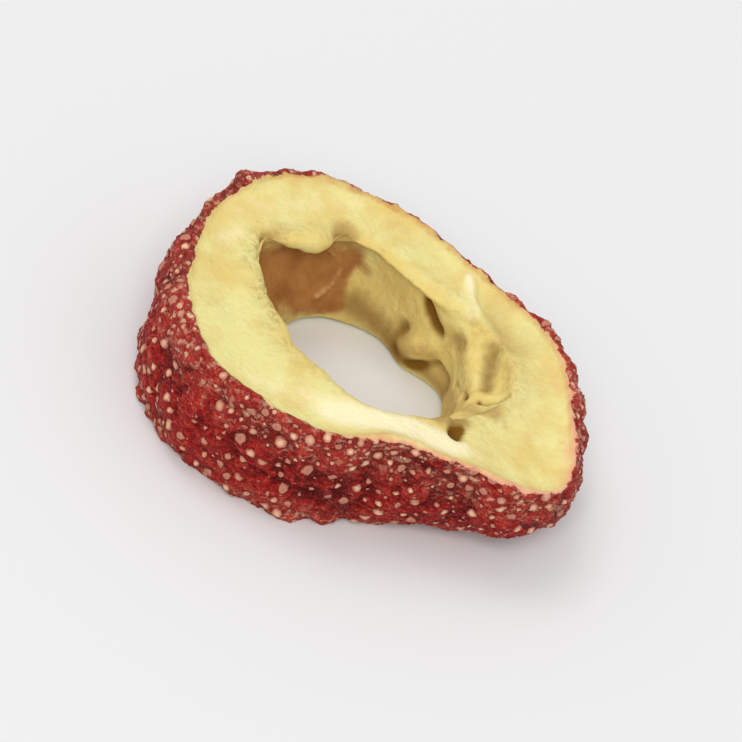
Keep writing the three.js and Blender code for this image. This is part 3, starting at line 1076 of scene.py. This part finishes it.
    # brown of stains, and painted shade at some marks
    stained: Cover = Cover(0.1, 1.1)
    lining_mottle: Cover = Cover(0.3, 0.75)
    lining_fold_highlight_tone: Cover = Cover(-0.2, -0.9)
    lined: Cover = Cover(0.1, 0.85)
    # the pink border, by how many millimetres inside the cut it is
    narrow_blush: Cover = Cover(-0.4, -0.02, 0.9)
    wide_blush: Cover = Cover(-1.4, 0.0)
    blush_breaks: Cover = Cover(0.65, 1.0, 0.55)
    # where a spot's dull cork lies, in its radii, and where its skin is free of wrinkles
    cork: Cover = Cover(1.1, 0.85)
    wrinkle_free: Cover = Cover(1.15, 0.8)
    # relief finer than the mesh, with its heights in millimetres
    net_height: float = 0.14
    skin_threads: Pattern = Pattern(0.22, 4.0, 0.0, 0.6)
    thread_height: float = 0.09
    cork_disc: Cover = Cover(1.2, 0.7, 0.05)
    cork_grain: Pattern = Pattern(0.12, 2.0)
    cork_grain_height: float = 0.03
    flesh_grain: Pattern = Pattern(0.32, 5.0, 0.0, 0.6)
    flesh_grain_height: float = 0.1
    torn_grain_height: float = 0.14
    flesh_pores: Dots = Dots(0.8, 80.0)
    flesh_pore_height: float = -0.025

    def spot(self, g: Graph) -> Socket:
        """Distance from the nearest corky spot's middle in its radii, a little uneven."""
        even = g.sum("MAXIMUM", g.length("spot_offset"), g.times(g.fact("spot"), self.spot_least))
        return g.plus(even, g.wander(self.spot_outline, self.spot_wander))

    def skin_colour(self, g: Graph, net: Socket, away: Socket) -> Socket:
        """Colour of the peel with its creases, ridges, flecks and corky spots.

        Args:
            g: The skin's graph.
            net: The net of fine wrinkles, 1 on its crests.
            away: Distance from the nearest spot, in its radii.

        Returns:
            The colour.
        """
        maroon, pink = linear(self.maroon), linear(self.highlight_pink)
        crease = g.fact("crease")
        # painted shade: the skin goes maroon where the crease fact is low
        red = g.blend(g.cover(crease, self.crease_shade), maroon, linear(self.crimson))
        red = g.blend(g.cover(g.grain(self.skin_blotches), self.brick_blotches), red, linear(self.brick))
        # the net of fine wrinkles: painted shade between its crests, and painted pink highlights on them
        red = g.blend(g.times(g.without(net), self.furrow_shade_strength), red, maroon)
        raised = g.cover(g.plus(crease, g.grain(self.crest_highlight_breaks)), self.crest_highlight_rise)
        red = g.blend(g.cover(net, self.crest, raised), red, pink)
        # the grain of the dried cells: dark pores, and pink flecks that are painted highlights
        cells = g.grain(self.skin_cells)
        red = g.blend(g.cover(cells, self.cell_pores), red, maroon)
        red = g.blend(g.cover(cells, self.cell_highlight_flecks), red, pink)
        return self.spots_on(g, self.flecks_on(g, red), away)

    def flecks_on(self, g: Graph, red: Socket) -> Socket:
        """Adds pale flecks: some all over, and many in the crinkled band beside the cut.

        Args:
            g: The skin's graph.
            red: The skin's colour.

        Returns:
            The colour with its flecks.
        """
        speck = linear(self.speck)
        red = g.blend(g.times(g.specks(self.wide_flecks), self.wide_fleck_strength), red, speck)
        red = g.blend(g.times(g.specks(self.narrow_flecks), self.narrow_fleck_strength), red, speck)
        band = g.cover(g.fact("peel"), self.band, g.cover(g.grain(self.band_patches), self.band_breaks))
        # painted pink highlight over the band beside the cut
        red = g.blend(g.times(band, self.band_highlight_strength), red, linear(self.highlight_pink))
        red = g.blend(g.cover(g.grain(self.band_crinkles), self.band_crinkle, band), red, speck)
        flecks = g.sum("MAXIMUM", g.specks(self.band_wide_flecks), g.specks(self.band_narrow_flecks))
        flecks = g.times(flecks, g.times(band, self.band_fleck_strength))
        return g.blend(flecks, red, linear(self.spot_heart))

    def spots_on(self, g: Graph, red: Socket, away: Socket) -> Socket:
        """Adds the corky spots, each with a dark border, a beige disc and a heart of its own colour.

        Args:
            g: The skin's graph.
            red: The skin's colour.
            away: Distance from the nearest spot, in its radii.

        Returns:
            The colour with its spots.
        """
        red = g.blend(g.cover(away, self.spot_border), red, linear(self.spot_edge))
        own = g.fact("spot_own")
        red = g.blend(g.cover(away, self.disc, g.cover(own, self.disc_own)), red, linear(self.spot_disc))
        colour = g.blend(g.cover(own, self.dull_own), linear(self.spot_heart), linear(self.spot_dull))
        return g.blend(g.cover(away, self.heart, g.cover(own, self.heart_own)), red, colour)

    def flesh_colour(self, g: Graph) -> Socket:
        """Colour of the cut faces, the hole's wall and the pockets' lining.

        Args:
            g: The flesh's graph.

        Returns:
            The colour.
        """
        straw, wall = linear(self.straw), g.fact("wall")
        flesh = g.blend(g.cover(g.grain(self.flesh_drifts), self.straw_drift), linear(self.cream), straw)
        flesh = g.blend(g.cover(g.grain(self.flesh_meal), self.straw_meal), flesh, straw)
        on_wall = g.cover(g.grain(self.wall_drifts), self.tan_drift, wall)
        flesh = g.blend(on_wall, flesh, linear(self.wall_tan))
        tone = g.plus(g.fact("tone"), g.wander(self.tone_blotches, self.tone_wander))
        tone = g.plus(tone, g.times(wall, g.wander(self.wall_blotches, self.wall_wander)))
        flesh = g.blend(g.cover(tone, self.khaki_tone), flesh, linear(self.khaki))
        flesh = g.blend(g.cover(tone, self.milk_tone), flesh, linear(self.milk))
        crumbs = g.cover(g.grain(self.crumb_blotches), self.crumbs, g.fact("torn"))
        flesh = self.lining_on(g, g.blend(crumbs, flesh, linear(self.crumb_olive)), tone)
        # brown of stains, and painted shade in some hollows
        return g.blend(g.cover(g.fact("stain_and_shade"), self.stained), flesh, linear(self.stain_and_shade_brown))

    def lining_on(self, g: Graph, flesh: Socket, tone: Socket) -> Socket:
        """Adds the seed pockets' brown lining, which is lighter on its fold.

        Args:
            g: The flesh's graph.
            flesh: The flesh's colour.
            tone: The flesh's tone, below zero on the fold.

        Returns:
            The colour with the lining.
        """
        mottle = g.cover(g.grain(self.lining_blotches), self.lining_mottle)
        brown = g.blend(mottle, linear(self.lining_tan), linear(self.lining_brown))
        # painted highlight on the lining's fold
        brown = g.blend(g.cover(tone, self.lining_fold_highlight_tone), brown, linear(self.lining_fold_highlight))
        lined = g.plus(g.fact("lining"), g.wander(self.lining_outline, self.lining_wander))
        return g.blend(g.cover(lined, self.lined), flesh, brown)

    def blush(self, g: Graph, peel: Socket, flesh: Socket) -> Socket:
        """The peel's red seeping into the flesh beside it, here more and there less.

        Args:
            g: The flesh's graph.
            peel: Distance from the cut, below zero on the flesh.
            flesh: The flesh's colour.

        Returns:
            The colour with its pink border.
        """
        blush = g.fact("blush")
        tint = g.blend(g.fact("rust"), linear(self.blush_pink), linear(self.blush_rust))
        patches = g.plus(g.grain(self.blush_patches), g.times(blush, self.blush_raise))
        wide = g.cover(peel, self.wide_blush, g.cover(patches, self.blush_breaks))
        seeped = g.sum("MAXIMUM", g.cover(peel, self.narrow_blush), wide)
        return g.blend(g.times(seeped, blush), flesh, tint)

    def roughness(self, g: Graph, on_peel: Socket, away: Socket) -> Socket:
        """Roughness over the piece: waxy skin, dull cork and mealy flesh.

        Args:
            g: The flesh's graph.
            on_peel: 1 on the peel and 0 on the flesh.
            away: Distance from the nearest spot, in its radii.

        Returns:
            The roughness.
        """
        on_spot = g.cover(away, self.cork, on_peel)
        value = g.plus(self.flesh_roughness, g.times(on_peel, self.skin_roughness - self.flesh_roughness))
        value = g.plus(value, g.times(on_spot, self.cork_roughness - self.skin_roughness))
        value = g.plus(value, g.wander(self.gloss_blotches, self.gloss_wander))
        lined = g.times(g.fact("lining"), self.lining_roughness - self.flesh_roughness)
        return g.plus(value, g.times(lined, g.without(on_peel)))

    def relief(self, g: Graph, on_peel: Socket, net: Socket, away: Socket) -> Socket:
        """Height of what is finer than the mesh.

        Args:
            g: The flesh's graph.
            on_peel: 1 on the peel and 0 on the flesh.
            net: The net of fine wrinkles, 1 on its crests.
            away: Distance from the nearest spot, in its radii.

        Returns:
            The height in millimetres.
        """
        bare = g.without(g.cover(away, self.wrinkle_free))
        threads = g.times(g.grain(self.skin_threads), self.thread_height)
        wrinkles = g.plus(g.times(net, self.net_height), threads)
        cork_grain = g.times(g.grain(self.cork_grain), self.cork_grain_height)
        corky = g.plus(g.cover(away, self.cork_disc), cork_grain)
        skin = g.plus(g.times(wrinkles, bare), corky)
        rough = g.plus(self.flesh_grain_height, g.times(g.fact("torn"), self.torn_grain_height))
        pores = g.times(g.specks(self.flesh_pores), self.flesh_pore_height)
        mealy = g.plus(g.times(g.grain(self.flesh_grain), rough), pores)
        return g.plus(g.times(skin, on_peel), g.times(mealy, g.without(on_peel)))

    def material(self) -> bpy.types.Material:
        """Makes the material.

        Returns:
            The finished material.
        """
        material = bpy.data.materials.new("dried_hawthorn")
        material.use_nodes = True
        tree = material.node_tree
        tree.nodes.clear()
        g, along = Graph(tree), Graph(tree, self.flatten)
        peel = g.plus(g.fact("peel"), g.wander(self.cut_outline, self.cut_wander))
        on_peel = g.cover(peel, self.cut_edge)
        wide = g.times(along.net(self.wide_net), self.wide_net_share)
        net = g.plus(wide, g.times(along.net(self.narrow_net), self.narrow_net_share))
        away = self.spot(g)
        flesh = self.blush(g, peel, self.flesh_colour(g))
        bump = add(tree, "Bump", {"Height": self.relief(g, on_peel, net, away), "Distance": MM})
        shader = add(tree, "BsdfPrincipled", {
            "Base Color": g.blend(on_peel, flesh, self.skin_colour(along, net, away)),
            "Roughness": self.roughness(g, on_peel, away),
            "Normal": bump.outputs["Normal"],
            "IOR": self.index,
            "Specular IOR Level": self.shine,
            "Subsurface Weight": self.seep,
            "Subsurface Radius": self.seep_colour,
            "Subsurface Scale": self.seep_reach * MM,
        })
        add(tree, "OutputMaterial", {"Surface": shader.outputs["BSDF"]})
        return material


@dataclass
class HawthornSlice:
    """The slice as one closed mesh with the facts that its finish reads from its points."""

    form: RingForm = field(default_factory=RingForm)
    spots: CorkSpots = field(default_factory=CorkSpots)
    skin: SkinRelief = field(default_factory=SkinRelief)
    flesh: FleshRelief = field(default_factory=FleshRelief)
    finish: DriedHawthornFinish = field(default_factory=DriedHawthornFinish)
    pockets: tuple[SeedPocket, ...] = (
        SeedPocket(109, 168, 1.0, foot=10.1, brow=14.5, first_fade=7),
        SeedPocket(232, 284, 0.8),
    )
    ragged: Wave = Wave(1.1, shift=3.3)
    steps_round: int = 632
    # places along the section where the peel is cut, and where the hole's wall begins and ends
    peel_top: float = POINT_COUNT - 0.35
    peel_base: float = 6.25
    wall_foot: Pair = (9.6, 10.8)
    wall_brow: Pair = (17.3, 15.7)
    # how far in over the rim the peel laps, round the hole, how rusty its edge is, how torn the flesh
    # at the hole's mouth is, and how far the peel's red has seeped into the face
    peel_lap: Values = (
        0.0, 0.1, 0.0, -0.05, -0.1, -0.1, 0.1, 0.4,
        0.4, 0.2, 0.1, 0.05, -0.1, -0.3, -0.35, -0.2,
    )
    rust: Values = (0.1, 0.2, 0.6, 0.9, 1.0, 1.0, 0.9, 0.4, 0.2, 0.1, 0.1, 0.2, 0.3, 0.2, 0.1, 0.0)
    torn: Values = (0.5, 0.5, 0.4, 0.2, 0.1, 0.2, 0.3, 0.8, 1.2, 1.0, 0.6, 0.3, 0.1, 0.1, 0.5, 0.6)
    blush: Values = (1.0, 0.8, 0.6, 0.6, 0.7, 0.7, 0.6, 0.4, 0.2, 0.25, 0.3, 0.4, 0.6, 0.9, 1.0, 1.0)
    # the torn strip of the flesh, as a place along the section and a width, and its patches
    torn_middle: float = 16.6
    torn_wide: float = 0.75
    torn_patches: Wave = Wave(1.3, shift=6.1)
    torn_cut: Pair = (-0.8, 0.1)
    # the cut edge of the peel curls up, over this many millimetres to either side
    curl: Wave = Wave(0.8, 0.1, 2.2)
    curl_wide: float = 0.25
    # wrinkles are calmer on a spot: by how much, and from how many radii to how many
    spot_calm: float = 0.7
    spot_calm_edge: Pair = (1.2, 0.7)
    # how much broad and fine relief count towards a crease, and where it starts and ends; the crease fact
    # drives painted shade in the skin's low places and painted highlights on its crests
    crease_broad: float = 0.55
    crease_fine: float = 1.6
    crease_span: Pair = (-0.22, 0.3)

    def grid(self) -> tuple[np.ndarray, np.ndarray]:
        """Lays out the mesh's points.

        Returns:
            Angles round the hole and places along the section.
        """
        angles = np.arange(self.steps_round) * FULL_TURN / self.steps_round
        first, places = 0, []
        for run in Run:
            places.extend(first + np.arange(run.points * run.steps) / run.steps)
            first += run.points
        return angles, np.array(places)

    def from_cut(self, points: np.ndarray, angles: np.ndarray, places: np.ndarray) -> np.ndarray:
        """Distance from the peel's cut edges along the section.

        Args:
            points: The grid's points, in millimetres.
            angles: Angles round the hole.
            places: Places along the section.

        Returns:
            Millimetres, above zero on the peel and below zero on the flesh.
        """
        step = np.linalg.norm(np.roll(points, -1, axis=1) - points, axis=2)
        travelled = np.concatenate([np.zeros((len(points), 1)), np.cumsum(step, axis=1)], axis=1)
        marks = np.append(places, POINT_COUNT)
        top, base = (
            np.array([np.interp(place, marks, row) for row in travelled])[:, None]
            for place in (self.peel_top, self.peel_base)
        )
        top = top - self.form.by_direction(self.peel_lap, angles)[:, None]
        whole, travelled = travelled[:, -1:], travelled[:, :-1]
        on_skin_side, inside = places[None, :] < POINT_COUNT / 2, places[None, :] <= self.peel_base
        from_top = np.where(on_skin_side, travelled + whole - top, travelled - top)
        on_peel = np.minimum(from_top, base - travelled)
        on_flesh = np.maximum(base - travelled, travelled - top)
        return np.where(inside, on_peel, on_flesh)

    def facts(self, smooth: np.ndarray, angles: np.ndarray, places: np.ndarray) -> dict[str, np.ndarray]:
        """Facts of each point that its finish needs.

        Args:
            smooth: Points of the smooth ring.
            angles: Angles round the hole.
            places: Places along the section.

        Returns:
            Named arrays of the grid's shape.
        """
        ragged = self.ragged.swell(smooth)
        away, offset, own = self.spots.nearest(self.form, smooth)
        torn, rust, blush = (
            self.form.by_direction(values, angles)[:, None] for values in (self.torn, self.rust, self.blush)
        )
        wall = ease_between(places, *self.wall_foot) * ease_between(places, *self.wall_brow)
        mouth = np.exp(-(((places - self.torn_middle) / self.torn_wide) ** 2))
        lined = [pocket.share(angles, places, ragged) for pocket in self.pockets]
        shares = [(mark, mark.share(smooth, self.form.hole_middle)) for mark in MARKS.values()]
        return {
            "peel": self.from_cut(smooth, angles, places),
            "spot": away,
            "spot_offset": offset,
            "spot_own": own,
            "wall": np.broadcast_to(wall, away.shape) + 0.0,
            "lining": np.clip(sum(lined) + sum(mark.lining * share for mark, share in shares), 0.0, 1.0),
            "stain_and_shade": sum(mark.stain_and_shade * share for mark, share in shares),
            "tone": sum(mark.tone * share for mark, share in shares),
            "marks": sum(mark.deep * share for mark, share in shares),
            "torn": torn * mouth * ease_between(self.torn_patches.swell(smooth), *self.torn_cut),
            "rust": rust + 0.0 * away,
            "blush": blush + 0.0 * away,
        }

    def build(self) -> bpy.types.Object:
        """Builds the mesh with its facts as point attributes.

        Returns:
            The slice's object, in metres, in the row's frame.
        """
        angles, places = self.grid()
        smooth = self.form.smooth(angles, places)
        facts = self.facts(smooth, angles, places)
        broad, fine = self.skin.broad(smooth), self.skin.fine(smooth)
        spots = self.spots.height(facts["spot"], facts["spot_own"])
        calm = 1 - self.spot_calm * ease_between(facts["spot"], *self.spot_calm_edge)
        near_cut = np.exp(-(facts["peel"] / self.curl_wide) ** 2)
        curl = self.curl.depth * near_cut * (1 + self.curl.swell(smooth))
        rough = facts["wall"] * (1 - facts["lining"])
        flesh = self.flesh.broad(smooth) + self.flesh.fine(smooth, rough, facts["torn"])
        relief = mix(flesh, broad + calm * fine + spots, self.skin.share(places)[None, :])
        relief = relief + curl - facts.pop("marks")
        points = smooth + self.form.outward(angles, places) * relief[..., None]
        points[..., 2] = np.maximum(points[..., 2], 0.0)
        facts["crease"] = ease_between(broad * self.crease_broad + fine * self.crease_fine, *self.crease_span)
        return self.to_object(points, facts)

    def to_object(self, points: np.ndarray, facts: dict[str, np.ndarray]) -> bpy.types.Object:
        """Joins the grid into a closed mesh of quads.

        Args:
            points: The grid's points, in millimetres.
            facts: Named arrays of the grid's shape.

        Returns:
            The object.
        """
        n, m = points.shape[:2]
        i, j = np.meshgrid(np.arange(n), np.arange(m), indexing="ij")
        next_i, next_j = (i + 1) % n, (j + 1) % m
        corners = [i * m + j, i * m + next_j, next_i * m + next_j, next_i * m + j]
        faces = np.stack(corners, axis=2).reshape(-1, 4)
        mesh = bpy.data.meshes.new("dried_hawthorn_slice")
        mesh.from_pydata((points.reshape(-1, 3) * MM).tolist(), [], faces.tolist())
        mesh.shade_smooth()
        for name, values in facts.items():
            kind, slot = ("FLOAT_VECTOR", "vector") if values.ndim == 3 else ("FLOAT", "value")
            mesh.attributes.new(name, kind, "POINT").data.foreach_set(slot, values.astype(np.float32).ravel())
        slice_object = bpy.data.objects.new("dried_hawthorn_slice", mesh)
        bpy.context.scene.collection.objects.link(slice_object)
        return slice_object

    def dress(self, slice_object: bpy.types.Object) -> None:
        """Gives the piece its finish and puts it in its node's place, on its body.

        Args:
            slice_object: The built slice.
        """
        slice_object.data.materials.append(self.finish.material())
        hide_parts(NODE)
        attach(slice_object, BODY)


@dataclass(frozen=True)
class Lamp:
    """A square soft light that faces the slice: its place and side in metres, its power in watts."""

    name: str
    place: Point
    side: float
    power: float
    colour: str = "#FFFFFF"


@dataclass
class Studio:
    """A pale floor, soft lights and the camera. Lengths here are metres."""

    floor_reach: float = 4.0
    floor_sides: int = 64
    floor_white: str = "#E8E8E8"
    floor_roughness: float = 0.9
    room_white: str = "#FFFFFF"
    room_light: float = 0.62
    lamps: tuple[Lamp, ...] = (
        Lamp("key", (-0.45, 0.15, 1.0), 0.5, 2.2),
        Lamp("fill", (0.0, -0.8, 0.9), 0.6, 6.4),
    )
    # the photo looks 42 degrees down on the cut face, turned so that +X runs right and down
    elevation: float = 42.0
    roll: float = 23.6
    lens: float = 250.0
    distance: float = 0.285
    nearest_shown: float = 0.01
    look_at: Point = (0.0, 0.0, 0.0036)

    def floor(self) -> None:
        """Lays the floor, a wide disc of matte pale paper."""
        mesh = bpy.data.meshes.new("studio_floor")
        turns = [FULL_TURN * k / self.floor_sides for k in range(self.floor_sides)]
        rim = [(self.floor_reach * math.cos(t), self.floor_reach * math.sin(t), 0.0) for t in turns]
        mesh.from_pydata(rim, [], [list(range(len(rim)))])
        material = bpy.data.materials.new("pale_paper")
        material.use_nodes = True
        shader = material.node_tree.nodes["Principled BSDF"]
        shader.inputs["Base Color"].default_value = linear(self.floor_white)
        shader.inputs["Roughness"].default_value = self.floor_roughness
        mesh.materials.append(material)
        floor = bpy.data.objects.new("studio_floor", mesh)
        bpy.context.scene.collection.objects.link(floor)

    def hang(self, lamp: Lamp) -> None:
        """Hangs a lamp.

        Args:
            lamp: The lamp.
        """
        data = bpy.data.lights.new(lamp.name, "AREA")
        data.size, data.energy, data.color = lamp.side, lamp.power, linear(lamp.colour)[:3]
        light = bpy.data.objects.new(lamp.name, data)
        light.location = lamp.place
        facing = Vector(self.look_at) - Vector(lamp.place)
        light.rotation_euler = facing.to_track_quat("-Z", "Y").to_euler()
        bpy.context.scene.collection.objects.link(light)

    def room(self) -> None:
        """Fills the room with even white light."""
        world = bpy.data.worlds.new("room")
        world.use_nodes = True
        back = world.node_tree.nodes["Background"]
        back.inputs["Color"].default_value = linear(self.room_white)
        back.inputs["Strength"].default_value = self.room_light
        bpy.context.scene.world = world

    def camera(self) -> None:
        """Sets the camera at the photo's angle, turned about its own axis as the photo needs."""
        up, turn = math.radians(self.elevation), math.radians(self.roll)
        look = Vector((0.0, math.cos(up), -math.sin(up)))
        right = Vector((1.0, 0.0, 0.0))
        top = right.cross(look)
        rolled_right = right * math.cos(turn) + top * math.sin(turn)
        rolled_top = top * math.cos(turn) - right * math.sin(turn)
        data = bpy.data.cameras.new("camera")
        data.lens, data.clip_start = self.lens, self.nearest_shown
        camera = bpy.data.objects.new("camera", data)
        bpy.context.scene.collection.objects.link(camera)
        turned = Matrix((rolled_right, rolled_top, -look)).transposed().to_4x4()
        camera.matrix_world = Matrix.Translation(Vector(self.look_at) - look * self.distance) @ turned
        bpy.context.scene.camera = camera

    def build(self) -> None:
        """Sets the whole studio up, with colours shown as they are."""
        self.floor()
        self.room()
        for lamp in self.lamps:
            self.hang(lamp)
        self.camera()
        bpy.context.scene.view_settings.view_transform = "Standard"


def main() -> None:
    """Builds the slice over its solid, then the studio."""
    logging.basicConfig(level=logging.INFO, format="%(name)s: %(message)s")
    hawthorn = HawthornSlice()
    slice_object = hawthorn.build()
    hawthorn.dress(slice_object)
    log.info("%s: %d faces", slice_object.name, len(slice_object.data.polygons))
    Studio().build()


if __name__ == "__main__":
    main()
